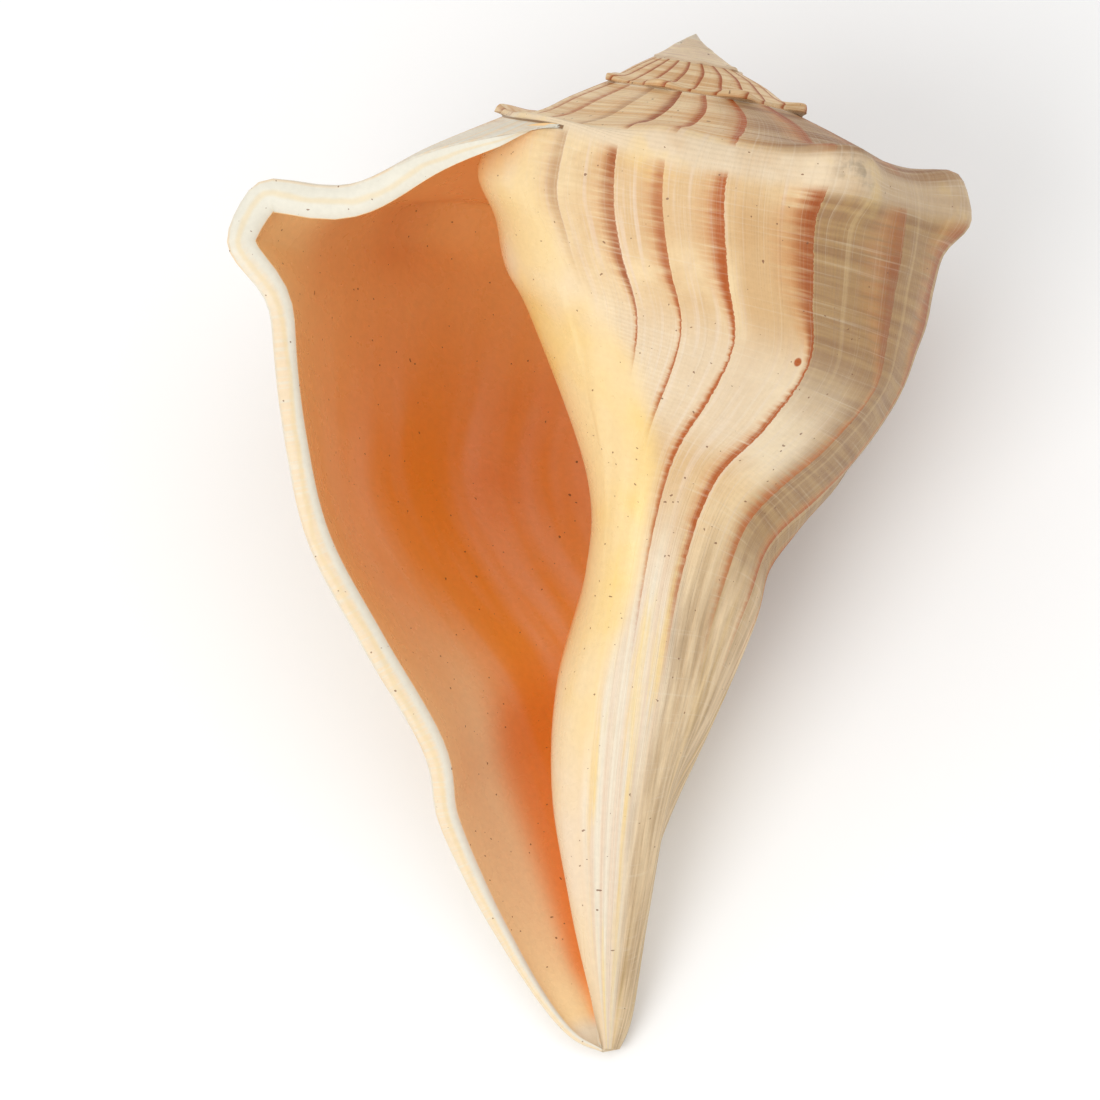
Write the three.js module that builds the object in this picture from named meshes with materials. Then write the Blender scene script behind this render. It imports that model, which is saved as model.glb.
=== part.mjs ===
// Lightning whelk shell: one solid, grown as a left-handed spiral around a tapering axis.
// Units are millimetres and +Z is up. The shell lies on its back with the opening upwards.
//
// The surface is worked out in the shell's own frame: the apex is the origin, the axis runs down
// -Y, and the opening faces +Z. A point is (growth angle, station): the growth angle is 0 at the
// left-hand lip and falls towards the apex; the station runs down one whorl's outer profile.
import * as THREE from 'three';

// ---- Driving dimensions ---------------------------------------------------------------------
const LENGTH = 190;            // apex to tip of the canal
const WHORL_RATIO = 2.22;      // each whorl is this many times the size of the one before
const WHORLS = 4;              // whorls from the apex to the lip
const REFERENCE_ANGLE = -180;  // where WHORL_PROFILE is measured
const LIP_END_ANGLE = 52;      // where the lip's upper end meets the whorl before
const CAVITY_END_ANGLE = -440; // where the hollow ends, deep inside
const WALL_THICKNESS = 3.2;    // of the last whorl, behind the lip
const KNOB_SPACING = 46.5;     // degrees between two knobs
const KNOB_PHASE = 3;
const KNOB_HEIGHT = 5.6;       // at REFERENCE_ANGLE
const KNOB_WIDTH = 10.5;       // degrees
const REST_TILT = 23.4;        // the shoulder props the apex end up by this angle
const REST_ROLL = 9;           // and the shell leans over to the right by this one
const WORN_DEPTH = 1.2;        // worn off the back where the shell rests

const COLUMNS_PER_WHORL = 40;
const SHOULDER_ROWS = 7;
const SIDE_ROWS = 21;
const CAVITY_STEPS = 42;

// Stations: 0 is the seam with the whorl before, 3 the shoulder's ridge, 4 the line that the next
// whorl's seam follows, 8 the foot of the round body, and 15 the tip of the canal.
const KEEL = 3;
const SEAM = 4;
const BODY_FOOT = 8;
const TIP_STATION = 15;
const TIP = [1.4, LENGTH];

// Each point is [radius, distance below the apex], stations 1 to 8.
const WHORL_PROFILE = [
  [31.5, 18.3], [38.5, 21.6], [45.4, 24.3], [49.0, 31.0],
  [48.7, 41.0], [46.4, 53.4], [42.0, 66.0], [34.0, 79.0],
];
// The canal's profile, stations 9 to 14, at every quarter turn from FIRST_CANAL_ANGLE.
const FIRST_CANAL_ANGLE = -450;
const CANAL_PROFILES = [
  [[11.5, 54], [7.5, 70], [6.5, 95], [5.5, 120], [5.0, 150], [3.5, 180]],
  [[12.6, 82], [11.4, 100], [15.2, 122], [14.6, 143], [9.5, 164], [4.2, 181]],
  [[19.0, 80], [15.5, 100], [15.5, 122], [12.5, 143], [8.0, 166], [4.0, 182]],
  [[23.0, 94], [20.3, 107], [14.2, 125.5], [7.2, 143], [4.9, 164], [3.6, 182.5]],
  [[28.8, 113], [25.0, 129], [18.0, 148], [10.5, 166], [6.0, 177], [3.6, 185]],
  [[39.0, 136], [35.8, 150], [28.9, 164.5], [21.8, 174.5], [14.4, 182.5], [7.6, 188]],
  [[50.0, 150], [46.0, 160], [37.0, 170], [27.0, 178], [17.0, 184], [8.0, 189]],
];
// Growth angle and thickness of the lip at stations 0 to 15.
const LIP_ANGLES = [LIP_END_ANGLE, 20, 9, 4, 4, 6, 9, 10, 7, 2, -3, -8, -10, -8, -4, 0];
const LIP_THICKNESS = [0, 4.2, 5.8, 6.2, 5.4, 4.4, 4.2, 4.4, 4.6, 4.4, 4.0, 3.4, 2.6, 1.9, 1.3, 0.5];
// Cross-section of the lip's edge: [share of the thickness, bulge forwards].
const LIP_EDGE = [[0.1, 0.5], [0.3, 0.85], [0.7, 0.85], [0.92, 0.45]];

// ---- Small helpers --------------------------------------------------------------------------
const radians = THREE.MathUtils.degToRad;
const mix = (a, b, f) => a + (b - a) * f;
const mixPoint = (a, b, f) => a.map((v, k) => mix(v, b[k], f));
const bell = (x, width) => Math.exp(-((x / width) ** 2));

// 0 at a, 1 at b, with a smooth start and end; b may be below a.
function ease(a, b, x) {
  const f = THREE.MathUtils.clamp((x - a) / (b - a), 0, 1);
  return f * f * (3 - 2 * f);
}

function catmullRom(p0, p1, p2, p3, f) {
  return 0.5 * (2 * p1 + (p2 - p0) * f + (2 * p0 - 5 * p1 + 4 * p2 - p3) * f * f
    + (3 * p1 - p0 - 3 * p2 + p3) * f ** 3);
}

// A smooth curve through a list of points; the parameter is the point's number.
function curveAt(points, parameter, extend = true) {
  const last = points.length - 1;
  const i = THREE.MathUtils.clamp(Math.floor(parameter), 0, last - 1);
  const at = (n) => {
    if (n >= 0 && n <= last) return points[n];
    const [end, inner] = n < 0 ? [points[0], points[1]] : [points[last], points[last - 1]];
    return extend ? end.map((v, k) => 2 * v - inner[k]) : end;
  };
  const f = THREE.MathUtils.clamp(parameter, 0, last) - i;
  return points[0].map((_, k) =>
    catmullRom(at(i - 1)[k], at(i)[k], at(i + 1)[k], at(i + 2)[k], f));
}

const valueAt = (values, parameter) => curveAt(values.map((v) => [v]), parameter)[0];

// Shell-frame position of a point at a growth angle, radius and distance below the apex.
function place(angle, [radius, below]) {
  const a = radians(angle);
  return new THREE.Vector3(-radius * Math.cos(a), -below, radius * Math.sin(a));
}

// ---- The whorl's outer profile --------------------------------------------------------------
const growthAt = (angle) => WHORL_RATIO ** ((angle - REFERENCE_ANGLE) / 360);
const nearLip = (angle) => ease(-60, 5, angle);
const flareAt = (angle) => 1 - 0.015 * ease(-70, 8, angle);
// The glaze laid over the whorl before, beside the opening.
const glazeAt = (angle) => ease(-285, -350, angle) * ease(-520, -430, angle);
// Before the lip the last whorl climbs over the shoulder of the one before.
const lastClimb = (angle) => ease(-460, -400, angle) * (1 - ease(-315, -270, angle));
const climbAt = (angle) => lastClimb(angle) + 0.8 * ease(-400, -460, angle);

// The first whorls stand a little taller than the growth ratio alone would make them.
function spireRise(angle) {
  const g = growthAt(angle);
  return 10 * g * Math.exp(-((g / 0.28) ** 1.2));
}

function scaledProfile(station, angle) {
  const [radius, below] = WHORL_PROFILE[station - 1];
  const s = growthAt(angle) * flareAt(angle);
  // The shoulders of the whorls in the spire slope down more steeply than the last whorl's.
  const steeper = [0.3, 1.5, 3.2, 0, 0, 0, 0, 0][station - 1] * growthAt(angle);
  return [radius * s, below * s + spireRise(angle) + steeper * ease(-400, -500, angle)];
}

function seamPoint(angle) {
  const keel = scaledProfile(KEEL, angle);
  const g = growthAt(angle);
  const underKeel = [keel[0] + 0.9 * g, keel[1] + 1.6 * g];
  const [radius, below] = mixPoint(scaledProfile(SEAM, angle), underKeel, climbAt(angle));
  return [radius + 1.5 * glazeAt(angle), below];
}

function canalProfile(angle) {
  const quarter = (angle - FIRST_CANAL_ANGLE) / 90;
  const flat = CANAL_PROFILES.map((profile) => profile.flat());
  const values = curveAt(flat, quarter, false);
  return CANAL_PROFILES[0].map((_, k) => [values[2 * k], values[2 * k + 1]]);
}

// Control points of the outer profile, stations 0 to 15. The wall's inside follows only a share
// of the relief outside.
function profilePoints(angle, relief = 1) {
  if (angle < FIRST_CANAL_ANGLE) {
    const s = WHORL_RATIO ** ((angle - FIRST_CANAL_ANGLE) / 360);
    const inner = profilePoints(FIRST_CANAL_ANGLE).map(([r, t]) => [r * s, t * s]);
    for (let k = 0; k <= BODY_FOOT; k += 1) inner[k] = bodyPoint(k, angle, relief);
    return inner;
  }
  const points = [];
  for (let k = 0; k <= BODY_FOOT; k += 1) points.push(bodyPoint(k, angle, relief));
  return [...points, ...canalProfile(angle), TIP];
}

function bodyPoint(station, angle, relief) {
  if (station === 0) return seamPoint(angle - 360);
  let point = scaledProfile(station, angle);
  if (station === SEAM) point = mixPoint(point, seamPoint(angle), relief);
  const lip = nearLip(angle);
  const outward = [0, 0, 0, 1.2, 2.0, 0.6, 0.2, 0.9, 1.4][station] * lip;
  const coated = [0, 0, 0, 0, 0, 4.4, 2.1, 2.6, 2.6][station] * glazeAt(angle);
  const lower = [0, 0.6, 1.3, 1.0, 0, 0, 0, 0, 0][station] * lastClimb(angle);
  const raise = [0, 2.2, 0.6, -0.9, 0, 0, 0, 0, 0][station] * lip;
  return [point[0] + outward + coated, point[1] + lower - raise];
}

function knobHeight(angle, station) {
  const half = KNOB_SPACING / 2;
  const offset = THREE.MathUtils.euclideanModulo(angle - KNOB_PHASE + half, KNOB_SPACING) - half;
  const blunt = 1 - 0.55 * ease(-235, -262, angle) * ease(-350, -322, angle);
  const early = ease(0.06, 0.3, growthAt(angle));
  return KNOB_HEIGHT * growthAt(angle) * blunt * early
    * bell(offset, KNOB_WIDTH) * Math.exp(-(((station - 3.55) / 0.9) ** 4));
}

// [radius, distance below the apex] of the outer surface.
function outerPoint(angle, station, relief = 1) {
  const [radius, below] = curveAt(profilePoints(angle, relief), station);
  const knob = relief * knobHeight(angle, station);
  return [radius + knob, below - 0.5 * knob * bell(station - 3.0, 0.7)];
}

// ---- The hollow -----------------------------------------------------------------------------
// depth is 0 at the lip and 1 at the hollow's deep end.
const CORNER_START = 0.9;
const angleAtDepth = (lipAngle, depth) => mix(lipAngle, CAVITY_END_ANGLE, depth);

// The corner under the seam, where the outer wall's inside meets the whorl before.
function innerCorner(angle, depth) {
  return outerPoint(angle - 360, SEAM + 0.66 * ease(0, 0.08, depth));
}

// The canal is open at the lip and closes behind it.
function closingStation(depth) {
  return TIP_STATION - 2.4 * ease(0, 0.3, depth) - 3.6 * ease(0.33, 0.8, depth);
}

function insideOfWall(angle, station, depth) {
  const inside = ease(0, 0.06, depth);
  const relief = 1 - 0.55 * inside;
  const here = outerPoint(angle, station, relief);
  const before = outerPoint(angle, Math.max(station - 0.02, 0), relief);
  const after = outerPoint(angle, station + 0.02, relief);
  const along = new THREE.Vector2(after[0] - before[0], after[1] - before[1]).normalize();
  const lip = valueAt(LIP_THICKNESS, station);
  const deep = (WALL_THICKNESS * growthAt(Math.min(angle, 20))) / 1.5;
  const thickness = mix(lip, deep, inside * (1 - ease(12.5, 15, station)));
  return [
    Math.max(here[0] - along.y * thickness, 0.4),
    here[1] + along.x * thickness,
  ];
}

function innerWallPoint(angle, station, depth) {
  if (station >= CORNER_START) return insideOfWall(angle, station, depth);
  const corner = innerCorner(angle, depth);
  const start = insideOfWall(angle, CORNER_START, depth);
  const straight = mixPoint(corner, start, station / CORNER_START);
  const rounded = mixPoint(corner, insideOfWall(angle, station, depth), ease(0, 0.5, station));
  return mixPoint(rounded, straight, ease(0, 0.04, depth));
}

// ---- Mesh -----------------------------------------------------------------------------------
const shoulderStations = Array.from({ length: SHOULDER_ROWS + 1 },
  (_, k) => SEAM * (k / SHOULDER_ROWS) ** 1.25);
const sideStations = Array.from({ length: SIDE_ROWS },
  (_, k) => mix(SEAM, TIP_STATION, (k + 1) / SIDE_ROWS));
const stations = [...shoulderStations, ...sideStations];
const lastRow = stations.length - 1;
const lastColumn = WHORLS * COLUMNS_PER_WHORL;
const firstFullColumn = lastColumn - COLUMNS_PER_WHORL;

const vertices = [];
const faces = [];
const addVertex = (position) => vertices.push(position) - 1;

function addFace(a, b, c) {
  if (a !== b && b !== c && c !== a) faces.push(a, b, c);
}

function addQuad(a, b, c, d) {
  addFace(a, b, c);
  addFace(a, c, d);
}

// The outer surface. Each whorl's seam shares its points with the whorl before, and only the last
// whorl goes down past that seam to the tip.
function outerSurface() {
  const grid = [];
  const tip = addVertex(place(0, TIP));
  for (let i = 0; i <= lastColumn; i += 1) {
    const columnAngle = LIP_END_ANGLE - ((lastColumn - i) * 360) / COLUMNS_PER_WHORL;
    const lipShare = ease(-90, LIP_END_ANGLE, columnAngle);
    const rows = i >= firstFullColumn ? lastRow : SHOULDER_ROWS;
    grid.push([]);
    for (let j = 0; j <= rows; j += 1) {
      if (j === 0 && i >= COLUMNS_PER_WHORL) {
        grid[i].push(grid[i - COLUMNS_PER_WHORL][SHOULDER_ROWS]);
      } else if (j === lastRow) {
        grid[i].push(tip);
      } else {
        const shift = valueAt(LIP_ANGLES, stations[j]) - LIP_END_ANGLE;
        const angle = columnAngle + shift * lipShare;
        grid[i].push(addVertex(place(angle, outerPoint(angle, stations[j]))));
      }
    }
  }
  for (let i = 0; i < lastColumn; i += 1) {
    const rows = i >= firstFullColumn ? lastRow : SHOULDER_ROWS;
    for (let j = 0; j < rows; j += 1) {
      addQuad(grid[i][j], grid[i][j + 1], grid[i + 1][j + 1], grid[i + 1][j]);
    }
  }
  return grid;
}

// The first whorl closes on a point just beyond the axis.
function closeApex(grid) {
  const apex = addVertex(place(LIP_END_ANGLE - 360 * WHORLS, [-1.4, 0.2]));
  for (let i = 0; i < COLUMNS_PER_WHORL; i += 1) addFace(grid[i][0], grid[i + 1][0], apex);
  for (let j = 0; j < SHOULDER_ROWS; j += 1) addFace(grid[0][j + 1], grid[0][j], apex);
}

// One closed ring: down the outer wall's inside (or across the lip's edge) to the closing point,
// then back up the columella and the whorl before.
function ring(number, depth, edge) {
  const cornerDepth = Math.max(depth, 0.012 * (number + 1));
  const cornerAngle = angleAtDepth(LIP_END_ANGLE, cornerDepth);
  const closing = closingStation(depth);
  const points = [place(cornerAngle, innerCorner(cornerAngle, cornerDepth))];
  for (let j = 1; j <= lastRow; j += 1) {
    const row = stations[j];
    const squeeze = (closing - BODY_FOOT) / (TIP_STATION - BODY_FOOT);
    const station = row < BODY_FOOT ? row : BODY_FOOT + (row - BODY_FOOT) * squeeze;
    const angle = angleAtDepth(valueAt(LIP_ANGLES, row), depth);
    const inner = innerWallPoint(angle, station, depth);
    if (!edge) {
      points.push(place(angle, inner));
    } else {
      const [share, bulge] = edge;
      const forwards = bulge * ease(0.3, 2, station) * (1 - ease(12.5, 15, station));
      const a = radians(angle);
      const push = new THREE.Vector3(Math.sin(a), 0, Math.cos(a)).multiplyScalar(forwards);
      points.push(place(angle, mixPoint(outerPoint(angle, station), inner, share)).add(push));
    }
  }
  const closingPoint = points[lastRow];
  const profile = profilePoints(cornerAngle - 360);
  const foot = profile[BODY_FOOT][1];
  const shrink = Math.min(1, (-closingPoint.y - foot) / (profile[TIP_STATION][1] - foot));
  for (let k = BODY_FOOT + 1; k < TIP_STATION; k += 1) {
    profile[k] = [profile[k][0], foot + (profile[k][1] - foot) * shrink];
  }
  profile[TIP_STATION] = [Math.hypot(closingPoint.x, closingPoint.z), -closingPoint.y];
  const first = SEAM + 0.66 * ease(0, 0.08, cornerDepth);
  const tipAngle = angleAtDepth(LIP_ANGLES[TIP_STATION], depth);
  for (let j = lastRow - 1; j > SHOULDER_ROWS; j -= 1) {
    const share = (stations[j] - SEAM) / (TIP_STATION - SEAM);
    const station = mix(first, TIP_STATION, share);
    const [radius, below] = curveAt(profile, station);
    const angle = mix(cornerAngle, tipAngle, ease(0.75, 1, share));
    points.push(place(angle, [radius + knobHeight(cornerAngle - 360, station), below]));
  }
  return points.map(addVertex);
}

function hollow(grid) {
  const rim = [...grid[lastColumn]];
  for (let j = lastRow - 1; j > SHOULDER_ROWS; j -= 1) rim.push(grid[firstFullColumn][j]);
  const rings = [rim];
  for (const edge of LIP_EDGE) rings.push(ring(rings.length - 1, 0, edge));
  for (const depth of [0, 0.012]) rings.push(ring(rings.length - 1, depth));
  for (let k = 0; k < CAVITY_STEPS; k += 1) {
    rings.push(ring(rings.length - 1, mix(0.03, 1, k / (CAVITY_STEPS - 1))));
  }
  for (let n = 0; n + 1 < rings.length; n += 1) {
    for (let k = 0; k < rim.length; k += 1) {
      const next = (k + 1) % rim.length;
      addQuad(rings[n][k], rings[n][next], rings[n + 1][next], rings[n + 1][k]);
    }
  }
  const end = rings[rings.length - 1];
  const middle = new THREE.Vector3();
  for (const k of end) middle.add(vertices[k]);
  const centre = addVertex(middle.divideScalar(end.length));
  for (let k = 0; k < end.length; k += 1) addFace(end[k], end[(k + 1) % end.length], centre);
}

// Lays the shell down, wears the resting points flat and puts the origin under its middle.
function layDown() {
  const turn = new THREE.Euler(radians(REST_TILT), radians(REST_ROLL), 0);
  for (const vertex of vertices) vertex.applyEuler(turn);
  const lowest = Math.min(...vertices.map((vertex) => vertex.z));
  for (const vertex of vertices) vertex.z = Math.max(vertex.z, lowest + WORN_DEPTH);
  const box = new THREE.Box3().setFromPoints(vertices);
  const middle = box.getCenter(new THREE.Vector3());
  for (const vertex of vertices) vertex.sub(new THREE.Vector3(middle.x, middle.y, box.min.z));
}

function buildShell() {
  const grid = outerSurface();
  closeApex(grid);
  hollow(grid);
  layDown();
  const geometry = new THREE.BufferGeometry().setFromPoints(vertices);
  geometry.setIndex(faces);
  geometry.computeVertexNormals();
  const material = new THREE.MeshStandardMaterial({
    color: 0xe6cfa9, roughness: 0.45, metalness: 0,
  });
  const mesh = new THREE.Mesh(geometry, material);
  mesh.name = 'shell';
  return mesh;
}

const conchShell = new THREE.Group();
conchShell.name = 'conch_shell';
conchShell.add(buildShell());

export default conchShell;
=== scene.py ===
"""Lightning whelk shell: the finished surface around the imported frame, in metres.

The shape is worked out in the shell's own frame, in millimetres: the apex is the origin, the
axis runs down -Y and the mouth faces +Z. A point is (turn, station). The turn is the growth
angle in degrees, 0 at the left-hand lip and falling towards the apex. The station runs down one
whorl's outer profile, from 0 at the seam to 15 at the tip of the canal.
"""
import math

import bpy
import numpy as np
from mathutils import Matrix, Vector, noise


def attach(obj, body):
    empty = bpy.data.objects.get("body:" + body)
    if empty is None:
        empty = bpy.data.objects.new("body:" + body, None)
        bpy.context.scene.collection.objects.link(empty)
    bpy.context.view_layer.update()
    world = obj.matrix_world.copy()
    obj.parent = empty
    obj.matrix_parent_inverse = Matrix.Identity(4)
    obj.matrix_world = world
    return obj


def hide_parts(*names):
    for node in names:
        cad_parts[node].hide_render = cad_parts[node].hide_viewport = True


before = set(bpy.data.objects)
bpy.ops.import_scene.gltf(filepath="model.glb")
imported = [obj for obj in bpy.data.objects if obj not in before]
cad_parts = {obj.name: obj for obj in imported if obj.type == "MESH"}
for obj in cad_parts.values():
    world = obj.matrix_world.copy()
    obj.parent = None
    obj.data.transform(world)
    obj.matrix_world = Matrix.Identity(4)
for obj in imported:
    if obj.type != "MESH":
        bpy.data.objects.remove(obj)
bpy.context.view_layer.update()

# ---- Driving dimensions, in millimetres and degrees ------------------------------------------
LENGTH = 190.0           # apex to tip of the canal
WHORL_RATIO = 2.22       # each whorl is this many times the size of the one before
WHORLS = 4               # whorls from the apex to the lip
REFERENCE_TURN = -180.0  # where WHORL_PROFILE is measured
LIP_END = 52.0           # where the lip's upper end meets the whorl before
HOLLOW_END = -440.0      # where the hollow ends, deep inside
WALL = 3.2               # of the last whorl, behind the lip
KNOB_SPACING = 46.5
KNOB_PHASE = 3.0
KNOB_HEIGHT = 5.6        # at REFERENCE_TURN
KNOB_WIDTH = 10.5
REST_TILT = 23.4         # the shoulder props the apex end up by this angle
REST_ROLL = 9.0          # and the shell leans over to the right by this one
WORN_DEPTH = 1.2         # worn off the back where the shell rests

# Stations: the shoulder's ridge, the next whorl's seam, the foot of the round body, and the tip.
KEEL, SEAM, BODY_FOOT, TIP_STATION = 3, 4, 8, 15
TIP = (1.4, LENGTH)
APEX = (-1.4, 0.2)
# Each point is (radius, distance below the apex), stations 1 to 8.
WHORL_PROFILE = np.array([
    (31.5, 18.3), (38.5, 21.6), (45.4, 24.3), (49.0, 31.0),
    (48.7, 41.0), (46.4, 53.4), (42.0, 66.0), (34.0, 79.0),
])
# The canal's profile, stations 9 to 14, at every quarter turn from FIRST_CANAL_TURN.
FIRST_CANAL_TURN = -450.0
CANAL_PROFILES = np.array([
    [(11.5, 54), (7.5, 70), (6.5, 95), (5.5, 120), (5.0, 150), (3.5, 180)],
    [(12.6, 82), (11.4, 100), (15.2, 122), (14.6, 143), (9.5, 164), (4.2, 181)],
    [(19.0, 80), (15.5, 100), (15.5, 122), (12.5, 143), (8.0, 166), (4.0, 182)],
    [(23.0, 94), (20.3, 107), (14.2, 125.5), (7.2, 143), (4.9, 164), (3.6, 182.5)],
    [(28.8, 113), (25.0, 129), (18.0, 148), (10.5, 166), (6.0, 177), (3.6, 185)],
    [(39.0, 136), (35.8, 150), (28.9, 164.5), (21.8, 174.5), (14.4, 182.5), (7.6, 188)],
    [(50.0, 150), (46.0, 160), (37.0, 170), (27.0, 178), (17.0, 184), (8.0, 189)],
])
# Turn and thickness of the lip at stations 0 to 15.
LIP_TURNS = [LIP_END, 20, 9, 4, 4, 6, 9, 10, 7, 2, -3, -8, -10, -8, -4, 0]
LIP_THICKNESS = [0, 4.2, 5.8, 6.2, 5.4, 4.4, 4.2, 4.4, 4.6, 4.4, 4.0, 3.4, 2.6, 1.9, 1.3, 0.5]

# Mesh density.
COLUMNS = 240
SHOULDER_ROWS = 28
SIDE_ROWS = 84
EDGE_RINGS = 9
HOLLOW_RINGS = 120

# Camera: its place over the mouth, in the shell's frame.
LENS = 170.0
SENSOR = 36.0
CAMERA_DISTANCE = 962.7
CAMERA_ELEVATION = 2.5
CAMERA_ROLL = 4.5
AIM = (-18.7, -1.0)


# ---- Small helpers ---------------------------------------------------------------------------
def ease(a, b, x):
    """0 at a, 1 at b, smooth between; b may be below a."""
    f = np.clip((np.asarray(x, float) - a) / (b - a), 0.0, 1.0)
    return f * f * (3 - 2 * f)


def bell(x, width):
    return np.exp(-(np.asarray(x, float) / width) ** 2)


def mix(a, b, f):
    return a + (b - a) * f


def catmull_rom(p0, p1, p2, p3, f):
    return 0.5 * (2 * p1 + (p2 - p0) * f + (2 * p0 - 5 * p1 + 4 * p2 - p3) * f * f
                  + (3 * p1 - p0 - 3 * p2 + p3) * f ** 3)


def curve_at(points, where):
    """Row n of points is a list of control points, read at parameter where[n]."""
    last = points.shape[1] - 1
    i = np.clip(np.floor(where).astype(int), 0, last - 1)
    f = (where - i)[:, None]
    padded = np.concatenate([
        2 * points[:, :1] - points[:, 1:2], points, 2 * points[:, -1:] - points[:, -2:-1],
    ], axis=1)
    n = np.arange(len(where))
    return catmull_rom(*(padded[n, i + k] for k in range(4)), f)


def value_at(values, where):
    where = np.atleast_1d(np.asarray(where, float))
    points = np.tile(np.asarray(values, float)[None, :, None], (len(where), 1, 1))
    return curve_at(points, where)[:, 0]


def place(turn, profile):
    a = np.radians(turn)
    radius, below = profile[..., 0], profile[..., 1]
    return np.stack([-radius * np.cos(a), -below, radius * np.sin(a)], axis=-1)


# ---- The whorl's outer profile ---------------------------------------------------------------
def growth(turn):
    return WHORL_RATIO ** ((np.asarray(turn, float) - REFERENCE_TURN) / 360)


def near_lip(turn):
    """1 at the lip, where the whorl flares."""
    return ease(-60, 5, turn)


def glaze(turn):
    """1 where the glaze beside the mouth makes the whorl thicker."""
    return ease(-285, -350, turn) * ease(-520, -430, turn)


def last_climb(turn):
    """1 where the seam nearest the lip climbs onto the whorl before."""
    return ease(-460, -400, turn) * (1 - ease(-315, -270, turn))


def climb(turn):
    """How far up from station 4 towards the ridge the next whorl's seam lies."""
    return last_climb(turn) + 0.8 * ease(-400, -460, turn)


def spire_rise(turn):
    """How much further down the first whorls lie than in a scaled copy of the last one."""
    g = growth(turn)
    return 10 * g * np.exp(-(g / 0.28) ** 1.2)


def scaled_profile(turn):
    scale = growth(turn) * (1 - 0.015 * ease(-70, 8, turn))
    points = scale[:, None, None] * WHORL_PROFILE
    points[:, :, 1] += spire_rise(turn)[:, None]
    covered = growth(turn) * ease(-400, -500, turn)
    points[:, :3, 1] += covered[:, None] * np.array([0.3, 1.5, 3.2])
    return points


def seam_point(turn):
    points = scaled_profile(turn)
    under_keel = points[:, KEEL - 1] + growth(turn)[:, None] * np.array([0.9, 1.6])
    point = mix(points[:, SEAM - 1], under_keel, climb(turn)[:, None])
    point[:, 0] += 1.5 * glaze(turn)
    return point


def canal_profile(turn):
    quarter = (turn - FIRST_CANAL_TURN) / 90
    last = len(CANAL_PROFILES) - 1
    i = np.clip(np.floor(quarter).astype(int), 0, last - 1)
    keys = [CANAL_PROFILES[np.clip(i + k, 0, last)] for k in (-1, 0, 1, 2)]
    return catmull_rom(*keys, np.clip(quarter - i, 0, 1)[:, None, None])


def profile_points(turn, relief=1.0):
    """Control points of the outer profile, stations 0 to 15, for each turn."""
    turn = np.atleast_1d(np.asarray(turn, float))
    points = np.zeros((len(turn), TIP_STATION + 1, 2))
    points[:, 1:9] = scaled_profile(turn)
    points[:, 0] = seam_point(turn - 360)
    points[:, SEAM] = mix(points[:, SEAM], seam_point(turn), np.reshape(relief, (-1, 1)))
    lip = near_lip(turn)[:, None]
    points[:, 3:9, 0] += lip * np.array([1.2, 2.0, 0.6, 0.2, 0.9, 1.4])
    points[:, 1:4, 1] -= lip * np.array([2.2, 0.6, -0.9])
    points[:, 1:4, 1] += last_climb(turn)[:, None] * np.array([0.6, 1.3, 1.0])
    points[:, 5:9, 0] += glaze(turn)[:, None] * np.array([4.4, 2.1, 2.6, 2.6])
    points[:, 9:15] = canal_profile(np.maximum(turn, FIRST_CANAL_TURN))
    points[:, 15] = TIP
    inner = np.minimum(turn - FIRST_CANAL_TURN, 0) / 360
    points[:, 9:] *= (WHORL_RATIO ** inner)[:, None, None]
    return points


def knob(turn, station):
    """The height of the knobs on the shoulder: lower in front and on the first whorls."""
    offset = (turn - KNOB_PHASE + KNOB_SPACING / 2) % KNOB_SPACING - KNOB_SPACING / 2
    blunt = 1 - 0.55 * ease(-235, -262, turn) * ease(-350, -322, turn)
    early = ease(0.06, 0.3, growth(turn))
    return (KNOB_HEIGHT * growth(turn) * blunt * early
            * bell(offset, KNOB_WIDTH) * np.exp(-((station - 3.55) / 0.9) ** 4))


def outer(turn, station, relief=1.0):
    point = curve_at(profile_points(turn, relief), station)
    height = relief * knob(turn, station)
    point[:, 0] += height
    point[:, 1] -= 0.5 * height * bell(station - 3.0, 0.7)
    return point


# ---- The hollow ------------------------------------------------------------------------------
CORNER_START = 0.9  # the station where the wall's inside turns towards its upper corner


def corner_station(depth):
    """Where the hollow's upper corner lies on the whorl before."""
    return SEAM + 0.66 * ease(0, 0.08, depth)


def inner_corner(turn, depth):
    return outer(turn - 360, corner_station(depth))


def closing_station(depth):
    """Where the wall meets the columella: the tip at the lip, higher up further in."""
    return TIP_STATION - 2.4 * ease(0, 0.3, depth) - 3.6 * ease(0.33, 0.8, depth)


def inside_of_wall(turn, station, depth):
    inside = ease(0, 0.06, depth)
    relief = 1 - 0.55 * inside
    here = outer(turn, station, relief)
    before = outer(turn, np.maximum(station - 0.02, 0), relief)
    along = outer(turn, station + 0.02, relief) - before
    along /= np.linalg.norm(along, axis=1)[:, None]
    lip = value_at(LIP_THICKNESS, station)
    deep = WALL * growth(np.minimum(turn, 20)) / 1.5
    thickness = mix(lip, deep, inside * (1 - ease(12.5, 15, station)))
    here[:, 0] = np.maximum(here[:, 0] - along[:, 1] * thickness, 0.4)
    here[:, 1] += along[:, 0] * thickness
    return here


def inner_wall(turn, station, depth):
    point = inside_of_wall(turn, station, depth)
    corner = inner_corner(turn, depth)
    start = inside_of_wall(turn, np.full_like(station, CORNER_START), depth)
    straight = mix(corner, start, (station / CORNER_START)[:, None])
    rounded = mix(corner, point, ease(0, 0.5, station)[:, None])
    near = mix(rounded, straight, ease(0, 0.04, depth)[:, None])
    return np.where((station < CORNER_START)[:, None], near, point)


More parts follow.
